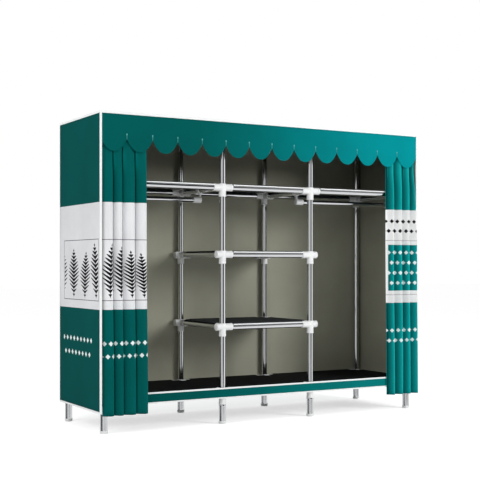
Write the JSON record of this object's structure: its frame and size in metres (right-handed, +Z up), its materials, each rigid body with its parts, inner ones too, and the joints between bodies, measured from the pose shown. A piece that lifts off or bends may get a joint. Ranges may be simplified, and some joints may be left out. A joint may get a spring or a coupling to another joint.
{
  "type": "portable fabric wardrobe",
  "caption": "Free-standing tube-frame wardrobe under a cloth cover, with clothes rods, cloth shelves, a scalloped valance and sliding front curtains.",
  "frame": {"origin": "on the floor, under the middle of the wardrobe", "axes": "+X to the wardrobe's right as seen from the front, -Y to the front, +Z up"},
  "size_m": [1.93, 0.554, 1.55],
  "materials": {
    "frame_tube": "bright plated steel tube",
    "leg_metal": "bright plated leg sleeve",
    "connector_plastic": "white moulded plastic, satin",
    "cover_cloth": "teal green non-woven cloth",
    "band_cloth": "white non-woven cloth with a plain printed leaf motif",
    "print_ink": "black print on cloth",
    "piping": "white bound edge, stitched",
    "shelf_cloth": "charcoal non-woven cloth"
  },
  "bodies": {
    "wardrobe": {"foot_front_left": "leg_metal", "foot_front_mid_left": "leg_metal", "foot_front_mid_right": "leg_metal", "foot_front_right": "leg_metal", "foot_rear_left": "leg_metal", "foot_rear_mid_left": "leg_metal", "foot_rear_mid_right": "leg_metal", "foot_rear_right": "leg_metal", "post_front_left": "frame_tube", "post_front_mid_left": "frame_tube", "post_front_mid_right": "frame_tube", "post_front_right": "frame_tube", "post_rear_left": "frame_tube", "post_rear_mid_left": "frame_tube", "post_rear_mid_right": "frame_tube", "post_rear_right": "frame_tube", "top_frame": "frame_tube", "bottom_frame": "frame_tube", "upper_rear_frame": "frame_tube", "middle_high_rear_frame": "frame_tube", "middle_low_rear_frame": "frame_tube", "upper_connector_left": "connector_plastic", "upper_connector_mid_left": "connector_plastic", "upper_connector_mid_right": "connector_plastic", "upper_connector_right": "connector_plastic", "middle_high_connector_mid_left": "connector_plastic", "middle_high_connector_mid_right": "connector_plastic", "middle_low_connector_mid_left": "connector_plastic", "middle_low_connector_mid_right": "connector_plastic", "upper_rail_left": "frame_tube", "upper_rail_middle": "frame_tube", "upper_rail_right": "frame_tube", "middle_high_rail_front": "frame_tube", "middle_low_rail_front": "frame_tube", "upper_shelf_left": "shelf_cloth", "upper_shelf_middle": "shelf_cloth", "upper_shelf_right": "shelf_cloth", "middle_high_shelf": "shelf_cloth", "middle_low_shelf": "shelf_cloth", "floor_cloth": "shelf_cloth", "clothes_rod_left": "frame_tube", "clothes_rod_right": "frame_tube", "rod_hanger_left_outer": "connector_plastic", "rod_hanger_left_inner": "connector_plastic", "rod_hanger_right_outer": "connector_plastic", "rod_hanger_right_inner": "connector_plastic", "cover_top": "cover_cloth", "cover_left": "cover_cloth", "cover_right": "cover_cloth", "cover_back": "cover_cloth", "valance": "cover_cloth", "curtain_rail": "frame_tube", "curtain_left_fold_1": "cover_cloth", "curtain_right_fold_1": "cover_cloth"},
    "curtain_left_2": {"curtain_left_fold_2": "cover_cloth"},
    "curtain_left_3": {"curtain_left_fold_3": "cover_cloth"},
    "curtain_left_4": {"curtain_left_fold_4": "cover_cloth"},
    "curtain_right_2": {"curtain_right_fold_2": "cover_cloth"},
    "curtain_right_3": {"curtain_right_fold_3": "cover_cloth"},
    "curtain_right_4": {"curtain_right_fold_4": "cover_cloth"}
  },
  "joints": [
    {"name": "curtain_left_slide_2", "type": "slide", "parent": "wardrobe", "child": "curtain_left_2", "axis": [1, 0, 0], "range_m": [0, 0.2345]},
    {"name": "curtain_left_slide_3", "type": "slide", "parent": "curtain_left_2", "child": "curtain_left_3", "axis": [1, 0, 0], "range_m": [0, 0.2345]},
    {"name": "curtain_left_slide_4", "type": "slide", "parent": "curtain_left_3", "child": "curtain_left_4", "axis": [1, 0, 0], "range_m": [0, 0.2345]},
    {"name": "curtain_right_slide_2", "type": "slide", "parent": "wardrobe", "child": "curtain_right_2", "axis": [-1, 0, 0], "range_m": [0, 0.2515]},
    {"name": "curtain_right_slide_3", "type": "slide", "parent": "curtain_right_2", "child": "curtain_right_3", "axis": [-1, 0, 0], "range_m": [0, 0.2515]},
    {"name": "curtain_right_slide_4", "type": "slide", "parent": "curtain_right_3", "child": "curtain_right_4", "axis": [-1, 0, 0], "range_m": [0, 0.2515]}
  ],
  "couplings": [
    {"joint": "curtain_left_slide_3", "follows": "curtain_left_slide_2", "ratio": 1},
    {"joint": "curtain_left_slide_4", "follows": "curtain_left_slide_2", "ratio": 1},
    {"joint": "curtain_right_slide_3", "follows": "curtain_right_slide_2", "ratio": 1},
    {"joint": "curtain_right_slide_4", "follows": "curtain_right_slide_2", "ratio": 1}
  ]
}
